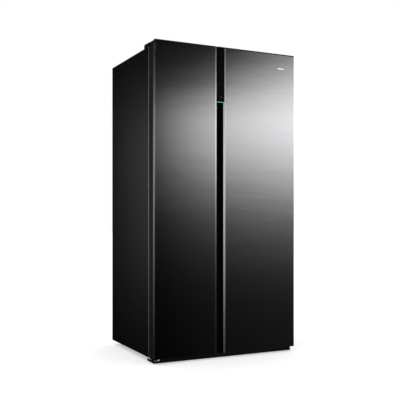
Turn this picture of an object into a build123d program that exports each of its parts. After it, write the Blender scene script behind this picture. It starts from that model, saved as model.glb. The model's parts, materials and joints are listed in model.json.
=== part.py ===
from build123d import *
import math
import os

# Side by side refrigerator. Millimetres, +Z up, the doors face -Y, +X to the right.
# The origin is the centre of the footprint, on the floor.

# Driving dimensions of the whole
WIDTH, DEPTH, HEIGHT = 908.0, 700.0, 1780.0
HALF = WIDTH / 2
FRONT, BACK = -DEPTH / 2, DEPTH / 2
CABINET_FRONT = FRONT + 86  # front face of the cabinet, behind the doors and gaskets
CABINET_BOTTOM, CABINET_TOP = 28.0, 1755.0
SHEET = 1.0  # steel sheet of the cabinet and doors
FACE = 5.0  # thickness of the cabinet's front frame
GAP = 0.4  # clearance between pieces of different bodies

# Cold compartments: inside faces of the insulated walls
FREEZER_X = (-399.0, -97.0)
FRIDGE_X = (-47.0, 409.0)
CAVITY_Z = (85.0, 1698.0)
FREEZER_REAR, FRIDGE_REAR = 290.0, 300.0
STEP_Y, STEP_Z = 90.0, 300.0  # the step over the machine room, as seen inside the liners
LINER = 1.6
ROOM_Y, ROOM_Z = 140.0, 245.0  # front and top of the machine room

# Doors
SKIN = (FRONT + 0.8, FRONT + 1.8)  # the emblem stands 0.8 proud of the door skins
TRIM = (FRONT + 0.4, FRONT + 1.8)  # front lips of the edge profiles
DOOR_BACK = FRONT + 75
DOOR_Z = (30.0, HEIGHT)
FREEZER_DOOR_X = (-HALF, -73.0)
FRIDGE_DOOR_X = (-68.0, HALF)
PROFILE, PROFILE_DEPTH = 1.5, 20.0  # bright edge profiles: thickness, and depth from front to back
FRAME_WALL = 3.0
CAP = 26.0  # lower end caps of the door frames
TOP_CAP = 30.0
PIN_X, PIN_Y = HALF - 20, FRONT + 34  # hinge pins, at both outer corners
PIN_R, BORE_R = 5.0, 5.05
BOSS_R = 11.0
LOW_BOSS, LOW_BORE = (40.0, 64.0), (20.0, 59.0)
TOP_BOSS, TOP_BORE = (CABINET_TOP - 32, CABINET_TOP - 4), (CABINET_TOP - 28, CABINET_TOP + 10)
NECK_R = 13.5  # half width of the hinge cover over the door
OPEN_ANGLE = 115.0  # how far the doors open
FOAM_Z = (DOOR_Z[0] + CAP, DOOR_Z[1] - TOP_CAP)
FACE_Z = (DOOR_Z[0] + 1, DOOR_Z[1] - 6)  # skins and profiles, below the top cap's black rim
GASKET, GASKET_Z = 16.0, (CAVITY_Z[0] - 25, CAVITY_Z[1] + 24)
RIB, RIB_BACK = (15.0, 39.0), CABINET_FRONT + 29  # upright ribs inside the doors
BIN_BACK = CABINET_FRONT + 89
EMBLEM_X, EMBLEM_Z = (335.0, 381.0), (1690.0, 1698.0)
COVER_X, COVER_Y = (HALF - 97, HALF - 3), (CABINET_FRONT + 2, FRONT + 160)  # right hinge cover

# Grip channel between the doors
CHANNEL_X = (FRIDGE_DOOR_X[0], -24.5)
CHANNEL_DEPTH, POCKET = 52.0, 32.0
CHAMFER = 8.0  # slanted edge of the fridge door along the channel
PANEL_Y = (FRONT + 3.5, FRONT + 6.5)  # the control panel lies back from the door's face
GROOVE_Y = (FRONT + 14, FRONT + 52)
GROOVE_DEPTH = 22.0
PANEL_BOTTOM = 1463.0  # lower end of the control panel

# Drawers and shelves, lower one first
DRAWER_FRONT = -126.0
DRAWER_Z = ((92.0, 288.0), (308.0, 560.0))
FREEZER_DRAWER_BACK, CRISPER_BACK = (76.0, 190.0), (76.0, 250.0)
COVER_Z = 572.0  # glass cover above the upper drawers

FREEZER_SHELF_Z = (860.0, 1120.0, 1400.0)
FRIDGE_SHELF_Z = (800.0, 1030.0, 1260.0, 1480.0)
SHELF_FRONT, FREEZER_SHELF_BACK, FRIDGE_SHELF_BACK = -146.0, 196.0, 262.0
FREEZER_BIN_Z = (700.0, 960.0, 1220.0, 1480.0)
FRIDGE_BIN_Z = (640.0, 910.0, 1180.0, 1440.0)
BIN_HEIGHT = 110.0
FLAP_Y, FLAP_Z = BIN_BACK - 6, 1648.0  # hinge line of the dairy flap

ICE_X, ICE_Z = -248.0, 1606.0
ICE_Y = (-120.0, 110.0)
FAN_X, FAN_Z, FAN_R = -248.0, 760.0, 40.0  # evaporator fan
COOLER_X, COOLER_Z, COOLER_R = 56.0, 142.0, 62.0  # condenser fan
FOOT_X, FOOT_Y = 400.0, -225.0
ROLLER_X, ROLLER_Y, ROLLER_R = 400.0, 300.0, 14.0


def box(x, y, z):
    """A box between pairs of limits."""
    size = (x[1] - x[0], y[1] - y[0], z[1] - z[0])
    centre = ((x[0] + x[1]) / 2, (y[0] + y[1]) / 2, (z[0] + z[1]) / 2)
    return Pos(*centre) * Box(*size)


def prism(outline, z):
    """An upright prism over a list of (x, y) corners."""
    return Pos(0, 0, z[0]) * extrude(make_face(Polyline(*outline, close=True)), z[1] - z[0])


def rod(centre, radius, length, axis="Z"):
    """A cylinder that starts at centre and runs along an axis."""
    turn = {"X": Rot(0, 90, 0), "Y": Rot(-90, 0, 0), "Z": Rot(0, 0, 0)}[axis]
    body = Cylinder(radius, length, align=(Align.CENTER, Align.CENTER, Align.MIN))
    return Pos(*centre) * turn * body


def grow(limits, by):
    """Limits moved outwards at both ends."""
    return (limits[0] - by, limits[1] + by)


def save(name, *solids):
    """Writes one node, of one solid or of several separate ones."""
    shape = solids[0] if len(solids) == 1 else Compound(children=list(solids))
    export_step(shape, f"parts/{name}.step")


def mirrored(shape):
    """The same piece on the other side."""
    return mirror(shape, Plane.YZ)


# ---------------------------------------------------------------- cabinet
def cabinet_shell():
    y = (CABINET_FRONT + FACE, BACK - SHEET)
    z = (CABINET_BOTTOM + 2, CABINET_TOP)
    side = box((-HALF, -HALF + SHEET), y, z)
    save("side_panel_left", side)
    save("side_panel_right", mirrored(side))
    save("top_panel", box((-HALF + SHEET, HALF - SHEET), y, (CABINET_TOP - SHEET, CABINET_TOP)))
    window = box((-430, 430), (BACK - 5, BACK + 5), (48, ROOM_Z - 3))
    save("back_panel", box((-HALF, HALF), (BACK - SHEET, BACK), z) - window)


def base_plate():
    """The steel floor with the nuts of the feet and the cheeks and axles of the rollers."""
    plate = box((-HALF, HALF), (CABINET_FRONT + FACE, BACK), (CABINET_BOTTOM, CABINET_BOTTOM + 2))
    for side in (-1, 1):
        plate += rod((side * FOOT_X, FOOT_Y, 12), 12, CABINET_BOTTOM - 12)
        plate -= rod((side * FOOT_X, FOOT_Y, 0), BORE_R, 60)
        for cheek in (-1, 1):
            x = side * ROLLER_X + cheek * 12.5
            plate += box((x - 1.5, x + 1.5), (ROLLER_Y - 14, ROLLER_Y + 14), (6, CABINET_BOTTOM))
            plate -= rod((x - 5, ROLLER_Y, ROLLER_R), 4, 10, "X")
        plate -= box(
            (side * ROLLER_X - 11, side * ROLLER_X + 11),
            (ROLLER_Y - 17, ROLLER_Y + 17),
            (CABINET_BOTTOM - 1, CABINET_BOTTOM + 3),
        )
    vents = [
        box((x, x + 8), (ROOM_Y + 20, BACK - 40), (CABINET_BOTTOM - 1, CABINET_BOTTOM + 3))
        for x in range(-60, 300, 24)
    ]
    axles = [rod((s * ROLLER_X - 16, ROLLER_Y, ROLLER_R), 4, 32, "X") for s in (-1, 1)]
    save("base_plate", plate - vents, *axles)


def liner(x, rear):
    """A cold compartment's inner box, open at the front, with the step over the machine room."""
    outer = box(x, (CABINET_FRONT + FACE, rear), CAVITY_Z)
    outer -= box(grow(x, 5), (STEP_Y + LINER, rear + 5), (CAVITY_Z[0] - 5, STEP_Z - LINER))
    inner = box(grow(x, -LINER), (CABINET_FRONT - 5, rear - LINER), grow(CAVITY_Z, -LINER))
    inner -= box(grow(x, 5), (STEP_Y, rear + 5), (CAVITY_Z[0] - 5, STEP_Z))
    return outer - inner, outer


def cabinet_inside():
    freezer, freezer_block = liner(FREEZER_X, FREEZER_REAR)
    fridge, fridge_block = liner(FRIDGE_X, FRIDGE_REAR)
    save("freezer_liner", freezer)
    save("fridge_liner", fridge)
    foam = box(
        grow((-HALF, HALF), -SHEET),
        (CABINET_FRONT + FACE, BACK - SHEET),
        (CABINET_BOTTOM + 2, CABINET_TOP - SHEET),
    )
    foam -= box((-HALF, HALF), (ROOM_Y, BACK), (CABINET_BOTTOM, ROOM_Z))
    board_recess = box((180, 380), (BACK - 40, BACK), (1560, 1700))
    save("cabinet_foam", foam - freezer_block - fridge_block - board_recess)
    face = box((-HALF, HALF), (CABINET_FRONT, CABINET_FRONT + FACE), (CABINET_BOTTOM, CABINET_TOP))
    rounded = face.edges().filter_by(Axis.Z).group_by(Axis.Y)[0]
    face = fillet(rounded + face.edges().filter_by(Axis.X).group_by(Axis.Y)[0].sort_by(Axis.Z)[-1:], 4.0)
    for x in (FREEZER_X, FRIDGE_X):
        face -= box(x, (CABINET_FRONT - 1, CABINET_FRONT + FACE + 1), CAVITY_Z)
    save("front_frame", face)


def toe_kick():
    """The plinth under the doors, lowered at its ends below the hinge brackets."""
    face = box((-446, 446), (FRONT + 28, FRONT + 31), (4, 17))
    face += box((-412, 412), (FRONT + 28, FRONT + 31), (16, 27))
    top = box((-380, 380), (FRONT + 30, CABINET_FRONT + 40), (25, CABINET_BOTTOM))
    ends = [box((s - 1.5, s + 1.5), (FRONT + 30, CABINET_FRONT + 40), (4, 17)) for s in (-444, 444)]
    save("toe_kick", face + top + ends)


def hinge_arm(half, y, z):
    """A flat arm from the right hinge pin back to the cabinet, with a rounded front end."""
    return box((PIN_X - half, PIN_X + half), (PIN_Y, y), z) + rod((PIN_X, PIN_Y, z[0]), half, z[1] - z[0])


def hinge_brackets():
    """Top and bottom brackets with their pins, and the bolts that hold them."""
    plate = box(grow(COVER_X, -3), grow(COVER_Y, -3), (CABINET_TOP, CABINET_TOP + 4))
    top = plate + hinge_arm(NECK_R - 3, COVER_Y[0] + 5, (CABINET_TOP, CABINET_TOP + 4))
    top += rod((PIN_X, PIN_Y, CABINET_TOP - 26), PIN_R, 27)
    low = hinge_arm(12, CABINET_FRONT, (20, 24))
    low += rod((PIN_X, PIN_Y, 23), 9, DOOR_Z[0] - GAP - 23) + rod((PIN_X, PIN_Y, 28), PIN_R, 28)
    low += box((PIN_X - 50, PIN_X + 12), (CABINET_FRONT - 3, CABINET_FRONT), (20, 58))
    bolts = []
    front, rear = CABINET_FRONT + 22, FRONT + 140
    for x, y in ((HALF - 82, front), (HALF - 30, front), (HALF - 56, rear)):
        top -= rod((x, y, CABINET_TOP - 2), 3, 10)
        bolts.append(rod((x, y, CABINET_TOP), 3, 4) + rod((x, y, CABINET_TOP + 4), 6, 5))
    for x, z in ((PIN_X - 40, 50), (PIN_X - 18, 50), (PIN_X - 40, 36)):
        low -= rod((x, CABINET_FRONT - 10, z), 3, 20, "Y")
        bolts.append(
            rod((x, CABINET_FRONT - 3, z), 3, 3, "Y") + rod((x, CABINET_FRONT - 7, z), 5, 4, "Y")
        )
    save("top_hinges", top, mirrored(top))
    save("bottom_hinges", low, mirrored(low))
    save("hinge_bolts", *bolts, *[mirrored(bolt) for bolt in bolts])


def hinge_covers():
    """Hollow covers over the top hinges, level with the top of the doors."""

    def filled(inset, height):
        z = (CABINET_TOP, CABINET_TOP + height)
        foot = box(grow(COVER_X, -inset), grow(COVER_Y, -inset), z)
        return foot + hinge_arm(NECK_R - inset, COVER_Y[0] + 5, z)

    height = HEIGHT - CABINET_TOP
    cover = filled(0, height)
    rim = cover.edges().filter_by(Plane.XY).group_by(Axis.Z)[-1]
    cover = fillet(rim, 1.5) - filled(2.0, height - 2.5)
    save("hinge_covers", cover, mirrored(cover))


# ---------------------------------------------------------------- inside the cabinet
def shelves():
    """Glass plates, and the glass covers above the upper drawers."""
    for name, x, rear, levels in (
        ("freezer_shelves", FREEZER_X, FREEZER_SHELF_BACK, FREEZER_SHELF_Z),
        ("fridge_shelves", FRIDGE_X, FRIDGE_SHELF_BACK, FRIDGE_SHELF_Z),
    ):
        sides = grow(x, -LINER - 3)
        save(name, *[box(sides, (SHELF_FRONT, rear), (z, z + 4)) for z in (COVER_Z,) + levels])


def drawer_runners():
    """Ledges on the side walls that carry the shelves and the rims of the drawers."""
    strips = []
    for x, rear, levels, backs in (
        (FREEZER_X, FREEZER_SHELF_BACK, FREEZER_SHELF_Z, FREEZER_DRAWER_BACK),
        (FRIDGE_X, FRIDGE_SHELF_BACK, FRIDGE_SHELF_Z, CRISPER_BACK),
    ):
        left, right = grow(x, -LINER)
        ledges = [(z, SHELF_FRONT, rear, 13) for z in (COVER_Z,) + levels]
        for (low, high), back in zip(DRAWER_Z, backs):
            ledges.append((high - 10 - GAP, DRAWER_FRONT + 8, back, 10))
        for top, front, back, width in ledges:
            strips.append(box((left, left + width), (front, back), (top - 7, top)))
            strips.append(box((right - width, right), (front, back), (top - 7, top)))
    save("drawer_runners", *strips)


def duct_panels():
    """The freezer's full width duct cover with its fan opening, and the fridge's air column."""
    left, right = grow(FREEZER_X, -LINER)
    panel = box((left, right), (204, 208), (STEP_Z + 4, 1690))
    panel -= rod((FAN_X, 200, FAN_Z), FAN_R + 2, 12, "Y")
    for ring in (16, 30):
        panel += rod((FAN_X, 204, FAN_Z), ring + 2, 4, "Y") - rod((FAN_X, 200, FAN_Z), ring, 12, "Y")
    for turn in range(4):
        spoke = Pos(FAN_X, 206, FAN_Z) * Rot(0, 45 + 90 * turn, 0) * Pos(29, 0, 0) * Box(30, 4, 3)
        panel += spoke
    panel += rod((FAN_X, 204, FAN_Z), 17, 4, "Y")
    slots = [
        box((x, x + 44), (200, 212), (z, z + 7))
        for x in (left + 24, right - 68)
        for z in (960, 980, 1220, 1240, 1500, 1520)
    ]
    save("freezer_duct_panel", panel - slots)
    centre = sum(FRIDGE_X) / 2
    column = box((centre - 70, centre + 70), (270, FRIDGE_REAR - LINER), (620, 1660))
    column -= box((centre - 64, centre + 64), (276, FRIDGE_REAR), (626, 1654))
    for z in (760, 990, 1220, 1440, 1560):
        for side in (-1, 1):
            column -= box((centre + side * 40 - 18, centre + side * 40 + 18), (265, 280), (z, z + 6))
    save("fridge_duct_panel", column)


def evaporator():
    """A finned block with its tube bends at both ends."""
    x, y, z = (FREEZER_X[0] + 34, FREEZER_X[1] - 34), (224.0, 272.0), (360.0, 620.0)
    block = box(x, y, z)
    for k in range(1, 12):
        at = x[0] + k * (x[1] - x[0]) / 12
        block -= box((at - 4, at + 4), (y[0] - 1, y[0] + 12), grow(z, 1))
    for k in range(6):
        for end, way in ((x[0], -1), (x[1], 1)):
            for y_at in (236, 260):
                start = (end if way > 0 else end - 12, y_at, z[0] + 22 + k * 43)
                block += rod(start, 4, 12, "X")
    save("evaporator", block)


def fans():
    """Both fans on their motors' shafts."""
    evaporator_motor = rod((FAN_X, 246, FAN_Z), 22, FREEZER_REAR - LINER - 246, "Y")
    evaporator_motor += rod((FAN_X, 222, FAN_Z), 2.5, 26, "Y")
    cooler_motor = rod((COOLER_X, 240, COOLER_Z), 24, 40, "X")
    cooler_motor += rod((COOLER_X - 24, 240, COOLER_Z), 2.5, 25, "X")
    cooler_motor += box((COOLER_X + 8, COOLER_X + 30), (232, 248), (CABINET_BOTTOM + 2, COOLER_Z))
    save("fan_motors", evaporator_motor, cooler_motor)

    def blades(radius, count, depth):
        hub = Cylinder(10, depth)
        for k in range(count):
            blade = Pos((radius + 8) / 2, 0, 0) * Rot(32, 0, 0) * Box(radius - 8, depth * 1.3, 1.6)
            hub += Rot(0, 0, 360 * k / count) * blade
        hub = hub & Cylinder(radius, depth)
        return hub - Cylinder(2.55, depth + 2)

    save("evaporator_fan", Pos(FAN_X, 231, FAN_Z) * Rot(90, 0, 0) * blades(FAN_R, 7, 14))
    save("condenser_fan", Pos(COOLER_X - 14, 240, COOLER_Z) * Rot(0, 90, 0) * blades(COOLER_R, 5, 18))


def machine_room():
    """Compressor, condenser, drain pan and the cover at the back."""
    floor = CABINET_BOTTOM + 2
    shell = rod((270, 245, floor + 14), 72, 96) + Pos(270, 245, floor + 110) * Sphere(72)
    shell &= box((150, 400), (150, 340), (floor, floor + 158))
    shell += box((190, 350), (180, 310), (floor + 10, floor + 14))
    for x in (200, 340):
        for y in (190, 300):
            shell += rod((x, y, floor), 9, 12)
    shell += box((330, 376), (225, 265), (floor + 40, floor + 100))
    save("compressor", shell)
    coil = box((-150, -20), (160, 330), (floor + 30, floor + 184))
    for k in range(1, 14):
        x = -150 + k * 130 / 14
        for y in ((155, 232), (240, 335)):
            coil -= box((x - 3, x + 3), y, (floor + 25, floor + 190))
    save("condenser", coil)
    pan = box((-190, 0), (160, 330), (floor, floor + 30))
    save("drain_pan", pan - box((-188, -2), (162, 328), (floor + 2, floor + 40)))
    cover = box((-442, 442), (BACK - SHEET - 1.2, BACK - SHEET), (40, ROOM_Z - 1))
    slots = [
        box((x, x + 5), (BACK - 6, BACK + 6), z)
        for x in range(-400, 400, 14)
        for z in ((70, 130), (150, 210))
        if not 296 < x < 372
    ]
    save("rear_cover", cover - box((316, 346), (BACK - 9, BACK + 3), (90, 120)) - slots)
    gland = box((316, 346), (BACK - 16, BACK), (90, 120)) - rod((331, BACK - 20, 105), 5, 30, "Y")
    save("power_inlet", gland)
    save("control_board", box((190, 370), (BACK - 34, BACK - SHEET), (1570, 1690)))


def lamps():
    freezer = box((-290, -206), (-210, -150), (CAVITY_Z[1] - LINER - 7, CAVITY_Z[1] - LINER))
    fridge = box((90, 272), (-205, -150), (CAVITY_Z[1] - LINER - 7, CAVITY_Z[1] - LINER))
    save("interior_lamps", freezer, fridge)


# ---------------------------------------------------------------- ice maker
def ice_maker():
    """A twist tray with its knob in a frame that hangs from the freezer's roof, above the ice box."""
    half, top = 66.0, CAVITY_Z[1] - LINER
    z = (ICE_Z - 32, ICE_Z + 32)
    frame = box((ICE_X - half, ICE_X + half), grow(ICE_Y, 6), z)
    frame -= box((ICE_X - half + 4, ICE_X + half - 4), grow(ICE_Y, 2), grow(z, 1))
    for side in (-1, 1):
        x = ICE_X + side * (half - 2)
        frame += box((x - 2, x + 2), (-60, 60), (ICE_Z, top))
        frame += box((x - 10, x + 10), (-60, 60), (top - 3, top))
    frame -= rod((ICE_X, ICE_Y[0] - 20, ICE_Z), BORE_R, 40, "Y")
    frame -= rod((ICE_X, ICE_Y[1] - 20, ICE_Z), BORE_R, 40, "Y")
    save("ice_maker_frame", frame)
    tray = box((ICE_X - 54, ICE_X + 54), ICE_Y, (ICE_Z - 22, ICE_Z + 14))
    step = (ICE_Y[1] - ICE_Y[0] - 6) / 6
    for col in (-1, 1):
        for row in range(6):
            y = ICE_Y[0] + 4.5 + row * step
            x = ICE_X + col * 26
            tray -= box((x - 23, x + 23), (y, y + step - 3), (ICE_Z - 18, ICE_Z + 20))
    tray += rod((ICE_X, ICE_Y[0] - 16, ICE_Z), PIN_R, 20, "Y")
    tray += rod((ICE_X, ICE_Y[1] - 4, ICE_Z), PIN_R, 12, "Y")
    knob = rod((ICE_X, ICE_Y[0] - 28, ICE_Z), 17, 12, "Y")
    knob += box((ICE_X - 4, ICE_X + 4), (ICE_Y[0] - 38, ICE_Y[0] - 27), (ICE_Z - 16, ICE_Z + 16))
    save("ice_tray", tray, knob)
    x, y, z = (ICE_X - 110, ICE_X + 110), (-110.0, 180.0), (FREEZER_SHELF_Z[2] + 4 + GAP, 1536.0)
    save("ice_box", tub(x, y, z, 2.5))


def tub(x, y, z, wall):
    """An open box."""
    return box(x, y, z) - box(grow(x, -wall), grow(y, -wall), (z[0] + wall, z[1] + 5))


# ---------------------------------------------------------------- drawers
def drawer(x, back, z, wall=2.5):
    """An open drawer with rims that ride on the runners, and a taller front with a finger lip."""
    left, right = x[0] + LINER + 13, x[1] - LINER - 13
    body = tub((left, right), (DRAWER_FRONT + 4, back), (z[0], z[1] - 8), wall)
    rims = [
        box((x[0] + LINER + 3, left + wall), (DRAWER_FRONT + 4, back), (z[1] - 10, z[1] - 7.5)),
        box((right - wall, x[1] - LINER - 3), (DRAWER_FRONT + 4, back), (z[1] - 10, z[1] - 7.5)),
    ]
    face = box((x[0] + LINER + 6, x[1] - LINER - 6), (DRAWER_FRONT, DRAWER_FRONT + 5), (z[0], z[1]))
    lip = box((left + 40, right - 40), (DRAWER_FRONT - 12, DRAWER_FRONT + 1), (z[1] - 24, z[1] - 20))
    lip += box((left + 40, right - 40), (DRAWER_FRONT - 12, DRAWER_FRONT - 9), (z[1] - 34, z[1] - 20))
    return body + rims + face + lip


def drawers():
    for name, x, backs in (
        ("freezer_drawer", FREEZER_X, FREEZER_DRAWER_BACK),
        ("crisper", FRIDGE_X, CRISPER_BACK),
    ):
        save(f"{name}_lower", drawer(x, backs[0], DRAWER_Z[0]))
        save(f"{name}_upper", drawer(x, backs[1], DRAWER_Z[1]))


# ---------------------------------------------------------------- doors
def hinge_notch():
    """The space that the right hinge cover's neck sweeps through in the door's top."""
    radius, reach = NECK_R + 1.2, 60.0
    turn = math.radians(90 - OPEN_ANGLE)
    touch = (PIN_X + radius * math.sin(turn), PIN_Y - radius * math.cos(turn))
    end = (touch[0] + reach * math.cos(turn), touch[1] + reach * math.sin(turn))
    corner = (PIN_X + reach, PIN_Y + reach)
    outline = [(PIN_X, PIN_Y), (PIN_X - radius, PIN_Y), (PIN_X - radius, corner[1]), corner, end, touch]
    floor = CABINET_TOP - 1.4
    return prism(outline, (floor, floor + 60)) + rod((PIN_X, PIN_Y, floor), radius, 60)


def on_side(shape, side):
    """The right door's piece, or the same one for the left door."""
    return shape if side > 0 else mirrored(shape)


def pin_rod(radius, z, side):
    """An upright cylinder around the hinge pins of one door."""
    return on_side(rod((PIN_X, PIN_Y, z[0]), radius, z[1] - z[0]), side)


def end_caps(x, side):
    """The lower and upper caps of a door, bored for the pins. The upper one has a rim over the skin."""
    y, inner = (FRONT + PROFILE_DEPTH, DOOR_BACK), grow(x, -PROFILE)
    low, top = [
        box(x, y, z) + box(inner, (SKIN[1], y[0] + 1), z)
        for z in ((DOOR_Z[0], FOAM_Z[0]), (FOAM_Z[1], DOOR_Z[1]))
    ]
    top += box(x, (SKIN[0], y[0] + 1), (FACE_Z[1], DOOR_Z[1]))
    low = low + pin_rod(BOSS_R, LOW_BOSS, side) - pin_rod(BORE_R, LOW_BORE, side)
    top = top + pin_rod(BOSS_R, TOP_BOSS, side) - pin_rod(BORE_R, TOP_BORE, side)
    return low, top - on_side(hinge_notch(), side)


def hinge_wall(edge, side):
    """The upright wall at a door's hinge side, stepped in behind the edge profile."""
    y = FRONT + PROFILE_DEPTH
    wall = box(sorted((edge, edge - side * FRAME_WALL)), (y, DOOR_BACK), FOAM_Z)
    return wall + box(sorted((edge - side * PROFILE, edge - side * FRAME_WALL)), (SKIN[1], y + 1), FOAM_Z)


def door_back(x):
    return box(grow(x, -FRAME_WALL), (DOOR_BACK - 2, DOOR_BACK), FOAM_Z)


def door_core(x, side):
    """The foam between the skin, the walls and the back."""
    core = box(grow(x, -FRAME_WALL), (SKIN[1], DOOR_BACK - 2), FOAM_Z)
    return core - pin_rod(BOSS_R, LOW_BOSS, side) - pin_rod(BOSS_R, TOP_BOSS, side)


def edge_profile(edge, side):
    """The bright angle at a door's outer edge: deep at the side, narrow at the front."""
    wall = sorted((edge, edge - side * PROFILE))
    lip = sorted((edge, edge - side * 3))
    profile = box(wall, (TRIM[0], FRONT + PROFILE_DEPTH), FACE_Z) + box(lip, TRIM, FACE_Z)
    return profile - on_side(hinge_notch(), side)


def door_gasket(x):
    ring = box(x, (DOOR_BACK, CABINET_FRONT - GAP), GASKET_Z)
    return ring - box(grow(x, -GASKET), (DOOR_BACK - 1, CABINET_FRONT), grow(GASKET_Z, -GASKET))


def door_liner(x, cavity):
    """The inner sheet with the two upright ribs that hold the bins."""
    plate = box(grow(x, -GASKET), (DOOR_BACK, DOOR_BACK + 2), grow(GASKET_Z, -GASKET))
    for edge in (cavity[0] + RIB[0], cavity[1] - RIB[1]):
        plate += box((edge, edge + RIB[1] - RIB[0]), (DOOR_BACK + 1, RIB_BACK), grow(CAVITY_Z, -20))
    return plate


def door_bins(cavity, levels):
    """Open bins held between the ribs of the door's inner sheet."""
    x = (cavity[0] + RIB[1], cavity[1] - RIB[1])
    return [tub(x, (DOOR_BACK + 2, BIN_BACK), (z, z + BIN_HEIGHT), 2.5) for z in levels]


def freezer_door():
    """The narrow door. The edge next to the channel has a finger groove behind its profile."""
    x, floor = FREEZER_DOOR_X, FREEZER_DOOR_X[1] - GROOVE_DEPTH
    low, top = end_caps(x, -1)
    plates = [
        box((floor - 3, x[1]), (GROOVE_Y[0] - 3, GROOVE_Y[0]), FOAM_Z),
        box((floor - 3, floor), GROOVE_Y, FOAM_Z),
        box((floor - 3, x[1]), (GROOVE_Y[1], GROOVE_Y[1] + 3), FOAM_Z),
    ]
    grip_wall = box((x[1] - FRAME_WALL, x[1]), (GROOVE_Y[1] + 3, DOOR_BACK), FOAM_Z)
    strip = box((x[1] - 10, x[1]), TRIM, FACE_Z)
    strip += box((x[1] - PROFILE, x[1]), (TRIM[0], GROOVE_Y[0] - 3), FACE_Z)
    groove = box((floor - 3, x[1]), grow(GROOVE_Y, 3), FOAM_Z)
    gasket_x = (4 - PIN_X, FREEZER_X[1] + 18)
    save("freezer_door_frame", low, top, hinge_wall(x[0], -1), grip_wall, door_back(x), *plates)
    save("freezer_door_profiles", edge_profile(x[0], -1), strip)
    save("freezer_door_skin", box((x[0] + 3, x[1] - 10), SKIN, FACE_Z))
    save("freezer_door_foam", door_core(x, -1) - groove)
    save("freezer_door_gasket", door_gasket(gasket_x))
    save("freezer_door_liner", door_liner(gasket_x, FREEZER_X))
    save("freezer_door_bins", *door_bins(FREEZER_X, FREEZER_BIN_Z))


def channel_profile(z):
    """The slanted bright edge between the fridge door's skin and the channel."""
    wall, back = CHANNEL_X[1], FRONT + PROFILE_DEPTH + 1
    outline = [
        (wall, TRIM[0] + CHAMFER),
        (wall + CHAMFER, TRIM[0]),
        (wall + CHAMFER + PROFILE, TRIM[0]),
        (wall + CHAMFER + PROFILE, TRIM[1]),
        (wall + PROFILE, TRIM[0] + CHAMFER + PROFILE),
        (wall + PROFILE, back),
        (wall, back),
    ]
    return prism(outline, z)


def fridge_door():
    """The wide door, with the channel along its inner edge."""
    x, wall = FRIDGE_DOOR_X, CHANNEL_X[1]
    lip, deep = FRONT + PROFILE_DEPTH + 1, FRONT + CHANNEL_DEPTH
    end = wall + POCKET
    channel = box((x[0] - 5, wall), (FRONT - 5, deep), (DOOR_Z[0] - 1, FOAM_Z[1]))
    channel += box((x[0] - 5, wall), (FRONT - 5, PANEL_Y[1]), (DOOR_Z[0] - 1, FACE_Z[1]))
    before = [
        (wall - 5, TRIM[0] + CHAMFER + 5),
        (wall + CHAMFER + 5, TRIM[0] - 5),
        (wall - 5, TRIM[0] - 5),
    ]
    channel += prism(before, (DOOR_Z[0] - 1, FACE_Z[1]))
    edge = channel_profile(FACE_Z)
    low, top = [cap - channel - edge for cap in end_caps(x, 1)]
    grip_wall = box((x[0], x[0] + FRAME_WALL), (deep + 2, DOOR_BACK), FOAM_Z)
    pocket = box((wall - 1, end + 2), (lip, deep + 2), FOAM_Z)
    floor = box((x[0] - 1, wall), (deep - 1, deep + 2), FOAM_Z)
    grip = [
        box((x[0], end + 2), (deep, deep + 2), FOAM_Z),
        box((end, end + 2), (lip, deep), FOAM_Z),
        box((wall, end), (lip, lip + 2), FOAM_Z),
        box((x[0], x[0] + 2), (FRONT + 22, deep), FOAM_Z),
    ]
    emblem = box(EMBLEM_X, (FRONT, SKIN[0]), EMBLEM_Z)
    gasket_x = (FRIDGE_X[0] - 18, PIN_X - 4)
    save("fridge_door_grip", *grip)
    save("fridge_door_frame", low, top, hinge_wall(x[1], 1), grip_wall, door_back(x))
    save("fridge_door_profiles", edge, edge_profile(x[1], 1))
    save("fridge_door_skin", box((wall + CHAMFER + PROFILE, x[1] - 3), SKIN, FACE_Z))
    save("fridge_door_foam", door_core(x, 1) - channel - edge - pocket - floor)
    save("emblem", fillet(emblem.edges().filter_by(Axis.Y), 3.9))
    save("fridge_door_gasket", door_gasket(gasket_x))
    save("fridge_door_liner", door_liner(gasket_x, FRIDGE_X))


def control_strip():
    """The upright touch panel at the top of the channel, and the light bar at its lower end."""
    x, deep = (FRIDGE_DOOR_X[0] + 2, CHANNEL_X[1]), FRONT + CHANNEL_DEPTH
    wide = (x[0], x[1] + 4.8)
    edge = channel_profile(FACE_Z)
    bar_y = (PANEL_Y[0], PANEL_Y[0] + 8)
    bar_z = (PANEL_BOTTOM, PANEL_BOTTOM + 3)
    strip = box(wide, PANEL_Y, (bar_z[1], FACE_Z[1])) - edge
    ledge = box(x, (bar_y[1], deep), bar_z) + box(x, (PANEL_Y[1], deep), (bar_z[1], bar_z[1] + 2))
    save("control_panel", strip, ledge)
    save("light_bar", box(wide, PANEL_Y, bar_z) - edge + box(x, bar_y, bar_z))


def dairy_shelf():
    """The fridge door's bins: the top one has cheeks that carry the dairy flap."""
    bins = door_bins(FRIDGE_X, FRIDGE_BIN_Z)
    x = (FRIDGE_X[0] + RIB[1], FRIDGE_X[1] - RIB[1])
    low = FRIDGE_BIN_Z[-1] + BIN_HEIGHT
    cheeks = [
        box(limits, (DOOR_BACK + 2, BIN_BACK + 3), (low - 5, FLAP_Z + 14))
        for limits in ((x[0], x[0] + 4), (x[1] - 4, x[1]))
    ]
    bins[-1] = bins[-1] + cheeks - rod((x[0] - 5, FLAP_Y, FLAP_Z), 3.05, x[1] - x[0] + 10, "X")
    save("fridge_door_bins", *bins)
    inside = grow(x, -4 - GAP)
    flap = box(inside, (FLAP_Y - 1.5, FLAP_Y + 1.5), (low + 4, FLAP_Z))
    flap += rod((inside[0], FLAP_Y, FLAP_Z), 5, inside[1] - inside[0], "X")
    flap += rod((x[0], FLAP_Y, FLAP_Z), 3, x[1] - x[0], "X")
    save("dairy_flap", flap + box(grow(inside, -120), (FLAP_Y, FLAP_Y + 8), (low + 4, low + 7)))


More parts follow.
